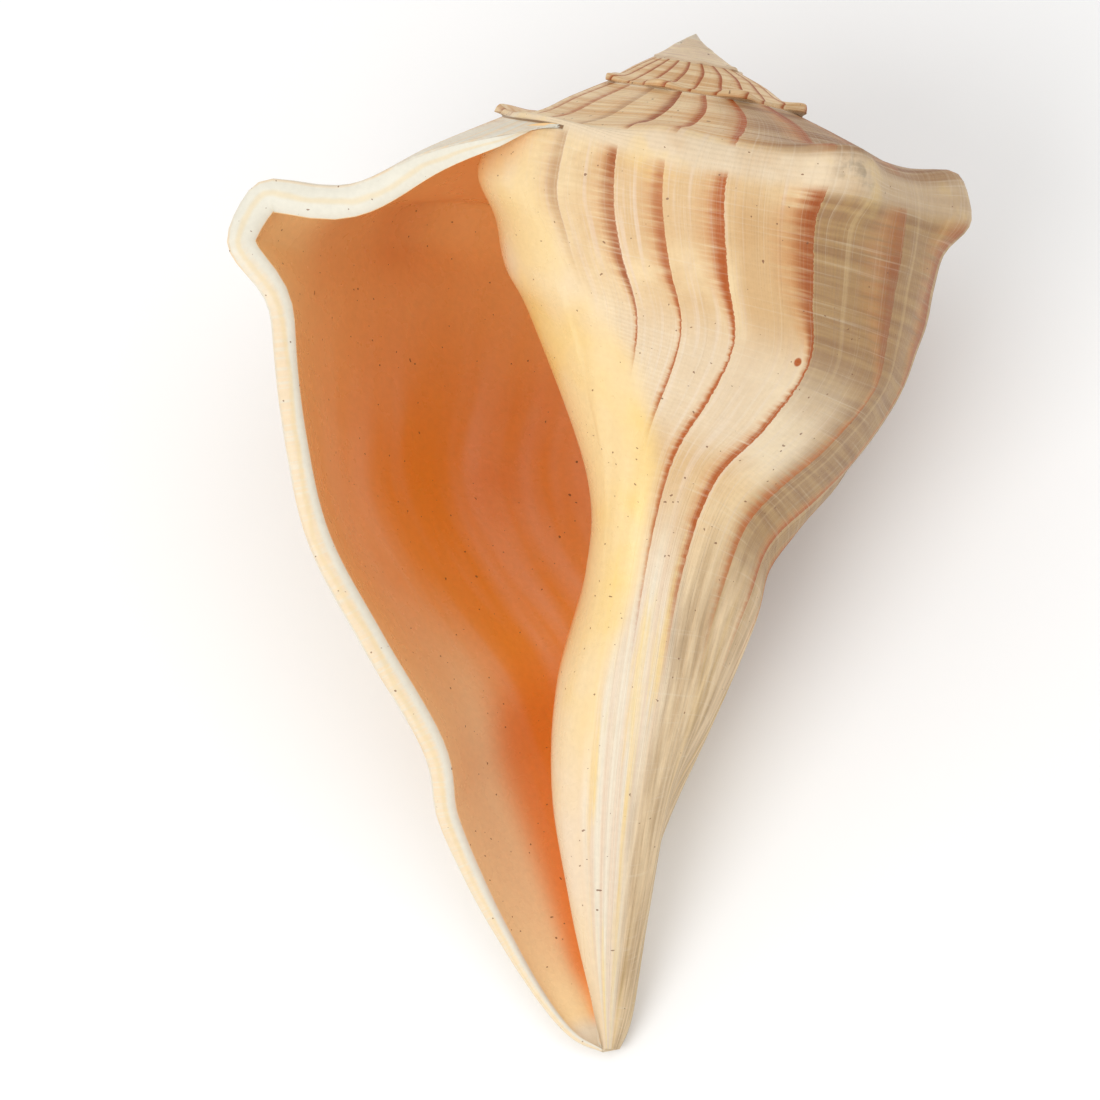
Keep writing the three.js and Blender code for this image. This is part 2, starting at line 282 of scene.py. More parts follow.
# ---- Markings --------------------------------------------------------------------------------
# Growth lines lean: how far ahead in turn each station of one line lies, stations 0 to 15.
LINE_LEAN = [15, 12, 7.5, 3, 0, 0, 3, 7.8, 5, -5, -14, -20, -24, -27, -30, -32]
# Each flame: the growth line it ends on, its strength, and how purple it is.
FLAMES = [
    (-374, 0.95, 0.15), (-359, 0.8, 0.5), (-343, 0.7, 0.1), (-325, 0.7, 0.1), (-306, 0.3, 1.0),
    (-288.5, 0.95, 0.4), (-275, 0.8, 0.1), (-259.5, 1.0, 0.0), (-236.3, 0.95, 0.4),
    (-208, 0.65, 0.85), (-184, 0.8, 0.5), (-161, 0.9, 0.3), (-136, 0.7, 0.7), (-113, 0.95, 0.2),
    (-88, 0.8, 0.6), (-65, 0.9, 0.3), (-43, 0.6, 0.2), (-24, 0.5, 0.1), (-8, 0.3, 0.1),
]
OLD_FLAME_SPACING = 15.0
# How wide the flames are, as a share of the space between two, stations 0 to 15.
FLAME_WIDTH = [
    0.6, 0.58, 0.5, 0.3, 0.4, 0.62, 0.5, 0.1, 0.22, 0.38, 0.3, 0.2, 0.2, 0.2, 0.2, 0.2,
]
# Where the glaze beside the mouth ends, in turn, stations 4 to 15.
GLAZE_EDGE = [-318, -312, -303, -291, -279, -270, -275, -296, -306, -304, -301, -300]
THREAD_SPACING = 1.15
PINHOLE_TURN, PINHOLE_STATION = -232.1, 7.01


def growth_line(turn, station):
    return turn - value_at(LINE_LEAN, station)


def flame_number(line):
    """Rises by one from each flame's edge to the next."""
    edges = [flame[0] for flame in FLAMES]
    older = np.minimum(line - edges[0], 0) / OLD_FLAME_SPACING
    return np.interp(line, edges, range(len(edges))) + older


def thread_number(station):
    """Rises by one from each spiral thread to the next, down the profile."""
    fine = np.linspace(0, TIP_STATION, 600)
    line = curve_at(profile_points(np.full(600, -181.0)), fine)
    length = np.concatenate([[0], np.cumsum(np.linalg.norm(np.diff(line, axis=0), axis=1))])
    return np.interp(station, fine, length) / THREAD_SPACING


def glaze_cover(turn, station):
    edge = np.interp(station, np.arange(SEAM, TIP_STATION + 1), GLAZE_EDGE)
    lower = ease(SEAM - 0.2, SEAM + 0.3, station)
    return ease(edge + 5, edge - 9, turn) * ease(-425, -415, turn) * lower


def markings(turn, station):
    """What the material reads at each point, besides turn, station, inner and depth."""
    line = growth_line(turn, station)
    edges, strength, purple = (list(column) for column in zip(*FLAMES))
    return {
        "line": line,
        "flame_number": flame_number(line),
        "thread": thread_number(station),
        "strength": np.interp(line, edges, strength),
        "purple": np.interp(line, edges, purple),
        "width": value_at(FLAME_WIDTH, station),
        "glaze": glaze_cover(turn, station),
        "lip": turn - value_at(LIP_TURNS, station),
    }


# ---- Mesh ------------------------------------------------------------------------------------
class Surface:
    """Collects points with what the material needs to know about each, and faces."""

    def __init__(self):
        self.points = []
        self.facts = []
        self.faces = []
        self.count = 0

    def add(self, points, turn, station, inner, depth):
        n = len(points)
        facts = np.stack([np.broadcast_to(v, n) for v in (turn, station, inner, depth)], 1)
        self.points.append(points)
        self.facts.append(facts)
        first = self.count
        self.count += n
        return np.arange(first, self.count)

    def strip(self, left, right):
        """Faces between two rows of point numbers, closed up where they share a point."""
        for a, b, c, d in zip(left[:-1], left[1:], right[1:], right[:-1]):
            corners = list(dict.fromkeys((int(a), int(b), int(c), int(d))))
            if len(corners) > 2:
                self.faces.append(corners)


def stations_of_rows():
    shoulder = SEAM * (np.arange(SHOULDER_ROWS + 1) / SHOULDER_ROWS) ** 1.25
    side = np.linspace(SEAM, TIP_STATION, SIDE_ROWS + 1)[1:]
    return np.concatenate([shoulder, side])


ROWS = stations_of_rows()
LAST_ROW = len(ROWS) - 1
LAST_COLUMN = WHORLS * COLUMNS
FULL_FROM = LAST_COLUMN - COLUMNS


def ripple(turn, station):
    """Shallow folds along the growth lines and a slight unevenness, in millimetres."""
    line = growth_line(turn, station)
    folds = np.cos(2 * np.pi * (flame_number(line) - 0.07)) * ease(3.6, 5.2, station)
    where = place(turn, outer(turn, station)) * 0.11
    uneven = np.array([noise.noise(Vector(point)) for point in where])
    height = (0.2 * folds + 0.55 * uneven) * growth(turn) * ease(10.5, 8.0, station)
    return height * ease(-6, -26, turn) * ease(0.0, 0.8, station) * ease(-1000, -600, turn)


def build_outside(surface):
    tip = int(surface.add(place(0.0, np.array([TIP])), 0, TIP_STATION, 0, 0)[0])
    lip_shift = value_at(LIP_TURNS, ROWS) - LIP_END
    grid = []
    for i in range(LAST_COLUMN + 1):
        rows = LAST_ROW if i >= FULL_FROM else SHOULDER_ROWS
        first = 1 if i >= COLUMNS else 0
        last = LAST_ROW if i >= FULL_FROM else SHOULDER_ROWS + 1
        column_turn = LIP_END - (LAST_COLUMN - i) * 360 / COLUMNS
        station = ROWS[first:last]
        turn = column_turn + lip_shift[first:last] * ease(-90, LIP_END, column_turn)
        profile = outer(turn, station)
        profile[:, 0] += ripple(turn, station)
        made = surface.add(place(turn, profile), turn, station, 0, 0)
        above = [grid[i - COLUMNS][SHOULDER_ROWS]] if first else []
        below = [tip] if rows == LAST_ROW else []
        grid.append(np.array([*above, *made, *below], int))
    for i in range(LAST_COLUMN):
        rows = (LAST_ROW if i >= FULL_FROM else SHOULDER_ROWS) + 1
        surface.strip(grid[i][:rows], grid[i + 1][:rows])
    return grid


def close_apex(surface, grid):
    start = LIP_END - 360 * WHORLS
    apex = int(surface.add(place(start, np.array([APEX])), start, 0, 0, 0)[0])
    for i in range(COLUMNS):
        surface.faces.append([int(grid[i][0]), int(grid[i + 1][0]), apex])
    for j in range(SHOULDER_ROWS):
        surface.faces.append([int(grid[0][j + 1]), int(grid[0][j]), apex])


def build_ring(surface, number, depth, share=None):
    """A closed ring: down the wall's inside, or across the lip's edge, and up the columella."""
    corner_depth = max(depth, 0.0012 * (number + 1))
    corner_turn = mix(LIP_END, HOLLOW_END, corner_depth)
    closing = float(closing_station(depth))
    rows = ROWS[1:]
    squeeze = (closing - BODY_FOOT) / (TIP_STATION - BODY_FOOT)
    station = np.where(rows < BODY_FOOT, rows, BODY_FOOT + (rows - BODY_FOOT) * squeeze)
    turn = mix(value_at(LIP_TURNS, rows), HOLLOW_END, depth)
    wall = inner_wall(turn, station, np.full_like(station, depth))
    if share is None:
        points = place(turn, wall)
        inner = 1.0
    else:
        points = place(turn, mix(outer(turn, station), wall, share))
        bulge = 0.9 * (1 - abs(2 * share - 1) ** 3)
        forwards = bulge * ease(0.3, 2, station) * (1 - ease(12.5, 15, station))
        a = np.radians(turn)
        points += np.stack([np.sin(a), np.zeros_like(a), np.cos(a)], 1) * forwards[:, None]
        inner = share
    corner = place(corner_turn, inner_corner(np.array([corner_turn]), np.array([corner_depth]))[0])
    made_corner = surface.add(corner[None], corner_turn, 0, inner, depth)
    made_wall = surface.add(points, turn, station, inner, depth)

    profile = profile_points(corner_turn - 360)[0]
    foot = profile[BODY_FOOT, 1]
    shrink = min(1.0, (-points[-1, 1] - foot) / (profile[TIP_STATION, 1] - foot))
    middle = slice(BODY_FOOT + 1, TIP_STATION)
    profile[middle, 1] = foot + (profile[middle, 1] - foot) * shrink
    profile[TIP_STATION] = (math.hypot(points[-1, 0], points[-1, 2]), -points[-1, 1])
    rows = ROWS[SHOULDER_ROWS + 1:-1][::-1]
    along = (rows - SEAM) / (TIP_STATION - SEAM)
    station = mix(float(corner_station(corner_depth)), TIP_STATION, along)
    back = curve_at(np.tile(profile, (len(rows), 1, 1)), station)
    back[:, 0] += knob(corner_turn - 360, station)
    tip_turn = mix(LIP_TURNS[TIP_STATION], HOLLOW_END, depth)
    turn = mix(corner_turn, tip_turn, ease(0.75, 1, along))
    made_back = surface.add(place(turn, back), turn - 360, station, 0, depth)
    return np.concatenate([made_corner, made_wall, made_back])


def build_hollow(surface, grid):
    back = [grid[FULL_FROM][j] for j in range(LAST_ROW - 1, SHOULDER_ROWS, -1)]
    rings = [np.concatenate([grid[LAST_COLUMN], back])]
    for k in range(1, EDGE_RINGS):
        share = 0.5 - 0.5 * math.cos(math.pi * k / EDGE_RINGS)
        rings.append(build_ring(surface, k, 0.0, share))
    for k in range(HOLLOW_RINGS + 1):
        depth = (k / HOLLOW_RINGS) ** 1.6
        rings.append(build_ring(surface, len(rings), depth))
    for one, other in zip(rings, rings[1:]):
        surface.strip(np.append(one, one[0]), np.append(other, other[0]))
    end = rings[-1]
    everything = np.concatenate(surface.points)
    middle = surface.add(everything[end].mean(0)[None], HOLLOW_END, 8, 1, 1)
    for a, b in zip(end, np.roll(end, -1)):
        surface.faces.append([int(a), int(b), int(middle[0])])


def to_world(points):
    """Lays the shell on its back, as the frame has it, and returns metres and the move made."""
    turn = Matrix.Rotation(math.radians(REST_TILT), 3, "X") @ Matrix.Rotation(
        math.radians(REST_ROLL), 3, "Y")
    laid = points @ np.array(turn).T
    laid[:, 2] = np.maximum(laid[:, 2], laid[:, 2].min() + WORN_DEPTH)
    low, high = laid.min(0), laid.max(0)
    shift = -np.array([(low[0] + high[0]) / 2, (low[1] + high[1]) / 2, low[2]])
    return (laid + shift) / 1000, turn, Vector(shift / 1000)


def add_attribute(mesh, name, values):
    attribute = mesh.attributes.new(name, "FLOAT", "POINT")
    attribute.data.foreach_set("value", np.ascontiguousarray(values, dtype=np.float32))


def build_shell():
    surface = Surface()
    grid = build_outside(surface)
    close_apex(surface, grid)
    build_hollow(surface, grid)
    points, turn, shift = to_world(np.concatenate(surface.points))
    facts = np.concatenate(surface.facts)
    mesh = bpy.data.meshes.new("conch_shell")
    mesh.from_pydata(points.tolist(), [], surface.faces)
    mesh.polygons.foreach_set("use_smooth", np.ones(len(mesh.polygons), bool))
    for k, name in enumerate(("turn", "station", "inner", "depth")):
        add_attribute(mesh, name, facts[:, k])
    for name, values in markings(facts[:, 0], facts[:, 1]).items():
        add_attribute(mesh, name, values)
    mesh.update()
    shell = bpy.data.objects.new("conch_shell", mesh)
    bpy.context.scene.collection.objects.link(shell)
    print("shell", len(points), "points", sum(len(f) - 2 for f in surface.faces), "triangles")
    return shell, turn, shift


# ---- Materials -------------------------------------------------------------------------------
def colour(red, green, blue):
    """A screen colour, 0 to 255, as the linear values that shaders take."""
    return tuple(((v / 255 + 0.055) / 1.055) ** 2.4 for v in (red, green, blue)) + (1.0,)


CREAM = colour(234, 206, 160)
PALE_CREAM = colour(233, 220, 196)
TAN = colour(204, 160, 106)
PINKISH = colour(228, 202, 174)
# The right side's olive ground, partly the shell's own colour, partly painted shade.
OLIVE = colour(134, 90, 44)
OLIVE_PALE = colour(164, 126, 74)
RIDGE = colour(198, 168, 120)
KNOB = colour(228, 206, 174)
KNOB_GREY = colour(150, 132, 108)
ORANGE_FLAME = colour(172, 82, 0)
PURPLE_FLAME = colour(124, 60, 20)
FADED_FLAME = colour(200, 134, 74)
GLAZE_YELLOW = colour(244, 206, 112)
GLAZE_PALE = colour(240, 216, 178)
SPIRE = colour(210, 160, 104)
SPIRE_LIGHT = colour(232, 202, 156)
# Painted shade for the spire's ramps on the right side.
SPIRE_SHADED = colour(132, 86, 50)
NUB = colour(222, 192, 164)
INSIDE_ORANGE = colour(248, 156, 58)
INSIDE_PINK = colour(252, 178, 120)
INSIDE_TAN = colour(245, 208, 150)
INSIDE_GUTTER = colour(250, 222, 170)
INSIDE_RED = colour(238, 134, 52)
# Lighter than the inside's own orange: painted light against the shade under the lip.
INSIDE_UPPER_LIT = colour(255, 198, 122)
RIM_WHITE = colour(225, 220, 204)
RIM_LINE = colour(228, 204, 156)
RIM_PEACH = colour(233, 210, 176)
BROWN = colour(120, 74, 40)


class Graph:
    """Short names for the shader nodes that the shell's material is made of."""

    def __init__(self, tree):
        self.tree = tree

    def feed(self, socket, value):
        if isinstance(value, bpy.types.NodeSocket):
            self.tree.links.new(value, socket)
        else:
            socket.default_value = value

    def attribute(self, name):
        node = self.tree.nodes.new("ShaderNodeAttribute")
        node.attribute_name = name
        return node.outputs["Fac"]

    def math(self, operation, a, b=0.0, c=0.0):
        node = self.tree.nodes.new("ShaderNodeMath")
        node.operation = operation
        for socket, value in zip(node.inputs, (a, b, c)):
            self.feed(socket, value)
        return node.outputs[0]

    def times(self, *factors):
        result = factors[0]
        for factor in factors[1:]:
            result = self.math("MULTIPLY", result, factor)
        return result

    def less(self, a):
        return self.math("SUBTRACT", 1.0, a)

    def smooth(self, start, end, value):
        """0 at start, 1 at end; end may be below start."""
        node = self.tree.nodes.new("ShaderNodeMapRange")
        node.interpolation_type = "SMOOTHSTEP"
        low, high = min(start, end), max(start, end)
        self.feed(node.inputs["Value"], value)
        node.inputs["From Min"].default_value = low
        node.inputs["From Max"].default_value = high
        node.inputs["To Min"].default_value = 0.0 if start < end else 1.0
        node.inputs["To Max"].default_value = 1.0 if start < end else 0.0
        return node.outputs["Result"]

    def window(self, a, b, c, d, value):
        """Rises from a to b and falls from c to d."""
        return self.times(self.smooth(a, b, value), self.smooth(d, c, value))

    def vector(self, x=0.0, y=0.0, z=0.0):
        node = self.tree.nodes.new("ShaderNodeCombineXYZ")
        for socket, value in zip(node.inputs, (x, y, z)):
            self.feed(socket, value)
        return node.outputs[0]

    def noise(self, vector, scale=1.0, detail=3.0, roughness=0.55):
        node = self.tree.nodes.new("ShaderNodeTexNoise")
        self.feed(node.inputs["Vector"], vector)
        node.inputs["Scale"].default_value = scale
        node.inputs["Detail"].default_value = detail
        node.inputs["Roughness"].default_value = roughness
        return node.outputs["Fac"]

    def solid_noise(self, scale, detail=3.0, roughness=0.55):
        node = self.tree.nodes.new("ShaderNodeTexCoord")
        return self.noise(node.outputs["Object"], scale, detail, roughness)

    def mix(self, factor, a, b):
        node = self.tree.nodes.new("ShaderNodeMix")
        node.data_type = "RGBA"
        self.feed(node.inputs["Factor"], factor)
        self.feed(node.inputs["A"], a)
        self.feed(node.inputs["B"], b)
        return node.outputs["Result"]

    def shade(self, colour_in, factor):
        """Multiplies a colour by a number."""
        node = self.tree.nodes.new("ShaderNodeVectorMath")
        node.operation = "SCALE"
        self.feed(node.inputs[0], colour_in)
        self.feed(node.inputs["Scale"], factor)
        return node.outputs[0]


def streaks(g, facts, across, along, detail=3.0):
    """Noise drawn out along the growth lines, or along the threads when along is the larger."""
    x = g.times(facts["line"], across)
    y = g.times(facts["thread"], along)
    return g.noise(g.vector(x, y), 1.0, detail)


def ground_colour(g, facts):
    """The outside's cream, tan and olive ground; the olive right side is partly painted shade."""
    station, line = facts["station"], facts["line"]
    patches = g.smooth(0.42, 0.62, g.solid_noise(38.0, 4.0))
    base = g.mix(g.times(patches, 0.6), CREAM, TAN)
    axial = g.smooth(0.5, 0.68, streaks(g, facts, 0.55, 0.03))
    base = g.mix(g.times(axial, 0.65), base, PINKISH)
    warm = g.times(g.window(-259, -254, -241, -236, line), g.window(4.3, 5.0, 6.6, 8.0, station))
    base = g.mix(g.times(warm, 0.75), base, TAN)
    low = g.window(6.3, 7.4, 8.3, 8.9, station)
    base = g.mix(g.times(low, 0.45), base, PALE_CREAM)
    fresh_foot = g.times(g.smooth(6.6, 8.2, station), g.smooth(-206, -222, line))
    # The right side turns olive: partly the shell's own olive ground, partly painted shade.
    shaded_side = g.times(g.window(-238.5, -235.5, -60, -20, line), g.less(fresh_foot))
    spiral = g.smooth(0.3, 0.7, streaks(g, facts, 0.02, 0.7, 5.0))
    olive = g.mix(spiral, OLIVE_PALE, OLIVE)
    ridges = g.smooth(0.6, 0.7, streaks(g, facts, 0.2, 0.004, 1.0))
    olive = g.mix(g.times(ridges, 0.4), olive, RIDGE)
    base = g.mix(g.times(shaded_side, 0.85), base, olive)
    knobs = g.times(g.window(3.05, 3.4, 3.9, 4.35, station), g.smooth(-345, -325, line))
    worn = g.mix(g.times(g.smooth(0.5, 0.7, g.solid_noise(90.0)), 0.3), KNOB, TAN)
    # The pale knob band is halved on the shaded right side, fading into the painted shade.
    knobs = g.times(knobs, g.less(g.times(g.window(-242, -218, -60, -20, line), 0.5)))
    return g.mix(g.times(knobs, 0.9), base, worn)


def canal_colour(g, facts, base):
    """Pale, pinkish canal with long streaks along it, browner on the right as painted shade."""
    share = g.smooth(8.9, 10.3, facts["station"])
    long_streaks = g.smooth(0.35, 0.7, streaks(g, facts, 0.2, 0.008, 3.0))
    pale = g.mix(long_streaks, PALE_CREAM, PINKISH)
    yellow = g.smooth(0.5, 0.68, streaks(g, facts, 0.09, 0.02, 4.0))
    pale = g.mix(g.times(yellow, 0.6), pale, GLAZE_YELLOW)
    # Painted shade: the canal's right side turns brown, starting further round lower down.
    low = g.smooth(10.5, 12.5, facts["station"])
    around = g.math("ADD", facts["turn"], g.times(low, 16.0))
    shaded_canal_side = g.window(-266, -242, -134, -84, around)
    brown_streaks = g.smooth(0.3, 0.75, streaks(g, facts, 0.14, 0.06, 4.0))
    brown = g.mix(brown_streaks, SPIRE_LIGHT, OLIVE_PALE)
    pale = g.mix(g.times(shaded_canal_side, 0.8), pale, brown)
    return g.mix(share, base, pale)


def knob_marks(g, facts, base):
    """Grey, rubbed tops on the knobs, with a yellow stain around each."""
    count = g.math("DIVIDE", g.math("SUBTRACT", facts["turn"], KNOB_PHASE), KNOB_SPACING)
    off = g.math("ABSOLUTE", g.math("SUBTRACT", g.math("FRACT", g.math("ADD", count, 30.5)), 0.5))
    near = g.times(g.smooth(0.3, 0.12, off), g.window(2.6, 3.2, 4.2, 4.9, facts["station"]))
    near = g.times(near, g.smooth(-345, -325, facts["line"]), g.smooth(0.1, 0.0, facts["inner"]))
    top = g.times(g.smooth(0.16, 0.05, off), g.window(3.0, 3.3, 3.7, 4.1, facts["station"]))
    stain = g.times(near, g.smooth(0.45, 0.65, g.solid_noise(110.0)), 0.28)
    base = g.mix(stain, base, GLAZE_YELLOW)
    rubbed = g.times(top, g.smooth(0.48, 0.62, g.solid_noise(260.0, 4.0)))
    rubbed = g.times(rubbed, g.smooth(-262, -245, facts["turn"]), 0.6)
    return g.mix(rubbed, base, KNOB_GREY)


def spire_colour(g, facts, base):
    """The ramps above the shoulder, with painted shade on the right, and the pale first whorls."""
    # Painted shade: the right-hand ramps are darker, and their colour reaches further down.
    painted_shade_side = g.window(-266, -238, -60, -20, facts["turn"])
    raised = g.math("SUBTRACT", facts["station"], g.times(painted_shade_side, 0.3))
    ramp = g.math("MAXIMUM", g.smooth(3.2, 2.8, raised),
                  g.smooth(-335, -350, facts["turn"]))
    ramp = g.times(ramp, g.smooth(4.2, 4.0, facts["station"]))
    bands = g.smooth(0.4, 0.65, streaks(g, facts, 0.01, 0.5, 3.0))
    shades = g.mix(bands, SPIRE_LIGHT, SPIRE)
    shaded_side = g.times(painted_shade_side, g.math("ADD", g.times(bands, 0.3), 0.65))
    shades = g.mix(shaded_side, shades, SPIRE_SHADED)
    base = g.mix(g.times(ramp, 0.85), base, shades)
    first = g.smooth(-715, -745, facts["turn"])
    nub_bands = g.smooth(0.42, 0.6, streaks(g, facts, 0.01, 1.2, 2.0))
    nub = g.mix(nub_bands, GLAZE_PALE, NUB)
    base = g.mix(first, base, nub)
    seam = g.smooth(0.16, 0.06, facts["station"])
    return g.mix(g.times(seam, 0.6), base, PALE_CREAM)


def flame_colour(g, facts, base):
    """Brown flames: a sharp younger edge, fading towards the apex, broken up by the threads."""
    broken = streaks(g, facts, 0.06, 1.3, 4.0)
    wavy = g.times(g.math("SUBTRACT", broken, 0.5), 0.05)
    cell = g.math("FRACT", g.math("ADD", facts["flame_number"], wavy))
    behind = g.math("DIVIDE", g.less(cell), facts["width"])
    fade = g.math("POWER", g.smooth(1.0, 0.0, behind), 0.7)
    core = g.smooth(0.55, 0.1, behind)
    texture = g.smooth(0.25, 0.6, broken)
    patchy = g.smooth(0.3, 0.52, g.solid_noise(26.0, 2.0))
    bare = g.window(2.9, 3.35, 3.95, 4.3, facts["station"])
    bare = g.times(bare, g.smooth(-345, -325, facts["line"]))
    shown = g.times(facts["strength"], g.less(bare), g.less(facts["glaze"]))
    ends = g.times(g.smooth(11.0, 9.2, facts["station"]), g.smooth(-735, -700, facts["turn"]))
    shown = g.times(shown, ends)
    base = g.mix(g.times(fade, texture, shown, 0.9), base, FADED_FLAME)
    purple = g.times(facts["purple"], g.smooth(7.4, 6.4, facts["station"]))
    dark = g.mix(purple, ORANGE_FLAME, PURPLE_FLAME)
    strong = g.times(core, shown, g.math("ADD", g.times(texture, 0.35), 0.75))
    strong = g.times(strong, g.math("ADD", g.times(patchy, 0.35), 0.7))
    return g.mix(strong, base, dark)


def glaze_colour(g, facts, base):
    """The yellow and cream glaze beside the mouth."""
    clouds = g.smooth(0.4, 0.62, g.solid_noise(34.0, 3.0))
    middle = g.window(6.4, 8.0, 10.4, 11.6, facts["station"])
    yellow = g.math("ADD", g.times(clouds, 0.45), g.times(middle, 0.42))
    tinted = g.mix(yellow, GLAZE_PALE, GLAZE_YELLOW)
    lower = g.smooth(10.5, 12.5, facts["station"])
    tinted = g.mix(g.times(lower, 0.6), tinted, PINKISH)
    tinted = g.shade(tinted, 0.97)
    return g.mix(g.times(facts["glaze"], 0.92), base, tinted)


def rim_colour(g, facts):
    """The lip's edge: white inside, a yellow layer, and a peach outer edge with fine hatching."""
    inner = facts["inner"]
    hatch = g.smooth(0.45, 0.65, streaks(g, facts, 0.9, 2.2, 3.0))
    peach = g.mix(g.times(hatch, 0.5), RIM_PEACH, RIM_WHITE)
    outer_share = g.times(g.smooth(0.72, 0.5, inner), g.smooth(3.6, 5.2, facts["station"]))
    rim = g.mix(outer_share, RIM_WHITE, peach)
    wander = g.math("ADD", inner, g.times(g.solid_noise(45.0), 0.8))
    layer = g.window(0.68, 0.82, 0.86, 1.0, wander)
    return g.mix(g.times(layer, 0.5), rim, RIM_LINE)


def inside_colour(g, facts):
    """Orange inside, with faint pink streaks, tan towards the lip and in the canal, with painted
    light.
    """
    station, depth = facts["station"], facts["depth"]
    streak = g.smooth(0.38, 0.66, streaks(g, facts, 0.06, 0.012, 3.0))
    orange = g.mix(streak, INSIDE_ORANGE, INSIDE_PINK)
    clouds = g.smooth(0.45, 0.65, g.solid_noise(30.0, 3.0))
    orange = g.mix(g.times(clouds, 0.35), orange, INSIDE_RED)
    # Painted light: the top of the inside is lighter, against the shade under the lip.
    upper = g.smooth(7.0, 4.4, station)
    orange = g.mix(g.times(upper, 0.85), orange, INSIDE_UPPER_LIT)
    near_lip = g.smooth(0.1, 0.0, depth)
    orange = g.mix(g.times(near_lip, 0.7), orange, INSIDE_TAN)
    corner = g.times(g.smooth(0.05, 0.0, depth), g.window(1.0, 2.5, 4.4, 5.4, station))
    orange = g.mix(g.times(corner, 0.8), orange, INSIDE_TAN)
    gutter = g.times(g.smooth(7.6, 9.4, station), g.smooth(0.11, 0.06, depth))
    orange = g.mix(g.times(gutter, 0.95), orange, INSIDE_GUTTER)
    # Painted reflected light: a deeper orange in the canal's hollow, where light bounces.
    painted_bounce = g.times(g.window(8.6, 9.4, 12.4, 13.6, station), g.window(0.05, 0.09, 0.2, 0.3, depth))
    orange = g.mix(g.times(painted_bounce, 0.7), orange, INSIDE_RED)
    tip = g.smooth(13.5, 14.2, station)
    return g.mix(tip, orange, PALE_CREAM)


def pinhole(g, facts, base):
    """One small round hole, stained orange, low on the last whorl's side."""
    across = g.times(g.math("SUBTRACT", facts["turn"], PINHOLE_TURN), 0.75)
    down = g.times(g.math("SUBTRACT", facts["station"], PINHOLE_STATION), 11.5)
    away = g.math("SQRT", g.math("ADD", g.times(across, across), g.times(down, down)))
    here = g.times(g.smooth(0.95, 0.6, away), g.smooth(0.1, 0.0, facts["inner"]))
    return g.mix(here, base, ORANGE_FLAME)


def lip_colour(g, facts, base):
    """The pale last growth behind the lip, widest above the shoulder."""
    above = g.times(g.smooth(-42, -18, facts["lip"]), g.smooth(4.0, 3.2, facts["station"]))
    behind = g.math("MAXIMUM", above, g.smooth(-9, -1.5, facts["lip"]))
    pale = g.mix(g.smooth(0.4, 0.65, streaks(g, facts, 0.5, 0.05)), RIM_WHITE, RIM_PEACH)
    return g.mix(g.times(behind, 0.9), base, pale)


def outside_colour(g, facts):
    """The outside's layers from the ground up, ending in pale scratches along and across."""
    base = ground_colour(g, facts)
    base = canal_colour(g, facts, base)
    base = knob_marks(g, facts, base)
    base = spire_colour(g, facts, base)
    base = flame_colour(g, facts, base)
    base = pinhole(g, facts, base)
    base = lip_colour(g, facts, base)
    base = glaze_colour(g, facts, base)
    base = g.mix(g.smooth(0.05, 0.12, facts["depth"]), base, inside_colour(g, facts))
    bare = g.less(facts["glaze"])
    spiral = g.times(g.smooth(0.55, 0.75, streaks(g, facts, 0.02, 2.0, 2.0)), bare)
    base = g.mix(g.times(spiral, 0.22), base, PALE_CREAM)
    axial = g.times(g.smooth(0.55, 0.75, streaks(g, facts, 2.2, 0.02, 2.0)), bare)
    return g.mix(g.times(axial, 0.22), base, PALE_CREAM)


def relief_height(g, facts):
    """Fine threads and growth lines, for the bump."""
    outside = g.smooth(0.1, 0.0, facts["inner"])
    turns = g.times(facts["thread"], 2 * math.pi)
    threads = g.times(g.math("SINE", turns), g.smooth(9.8, 8.8, facts["station"]))
    growth_lines = streaks(g, facts, 1.6, 0.02, 4.0)
    coarse = streaks(g, facts, 0.4, 0.012, 2.0)
    cover = g.less(g.times(facts["glaze"], 0.85))
    lines = g.math("ADD", g.times(threads, 0.16), g.times(growth_lines, 1.1))
    lines = g.math("ADD", lines, g.times(coarse, 1.4))
    pits = g.times(g.solid_noise(700.0, 4.0), 0.25)
    return g.math("ADD", g.times(lines, cover, outside), pits)


def shell_material():
    """Outside, rim and inside joined, with brown specks, a satin gloss and fine relief."""
    material = bpy.data.materials.new("shell")
    material.use_nodes = True
    shader = material.node_tree.nodes["Principled BSDF"]
    g = Graph(material.node_tree)
    names = ("turn", "station", "inner", "depth", "line", "flame_number", "thread", "strength",
             "purple", "width", "glaze", "lip")
    facts = {name: g.attribute(name) for name in names}
    outside = outside_colour(g, facts)
    rim = rim_colour(g, facts)
    inside = inside_colour(g, facts)
    behind_rim = g.smooth(0.0, 0.004, facts["depth"])
    skin = g.mix(g.times(g.smooth(0.02, 0.1, facts["inner"]), g.less(behind_rim)), outside, rim)
    skin = g.mix(g.smooth(0.96, 0.999, facts["inner"]), skin, inside)
    skin = g.mix(g.times(g.smooth(0.3, 0.7, facts["inner"]), behind_rim), skin, inside)
    specks = g.smooth(0.83, 0.85, g.solid_noise(1300.0, 0.0))
    skin = g.mix(g.times(specks, 0.8), skin, BROWN)
    grain = g.math("ADD", g.times(g.solid_noise(900.0, 2.0), 0.14), 0.93)
    g.feed(shader.inputs["Base Color"], g.shade(skin, grain))

    smoothness = g.math("MAXIMUM", facts["glaze"], g.smooth(0.9, 1.0, facts["inner"]))
    rough = g.math("SUBTRACT", 0.52, g.times(smoothness, 0.24))
    uneven = g.times(g.math("SUBTRACT", g.solid_noise(120.0, 4.0), 0.5), 0.25)
    g.feed(shader.inputs["Roughness"], g.math("ADD", rough, uneven))
    bump = material.node_tree.nodes.new("ShaderNodeBump")
    bump.inputs["Strength"].default_value = 0.6
    bump.inputs["Distance"].default_value = 0.0003
    g.feed(bump.inputs["Height"], relief_height(g, facts))
    g.feed(shader.inputs["Normal"], bump.outputs["Normal"])
    return material


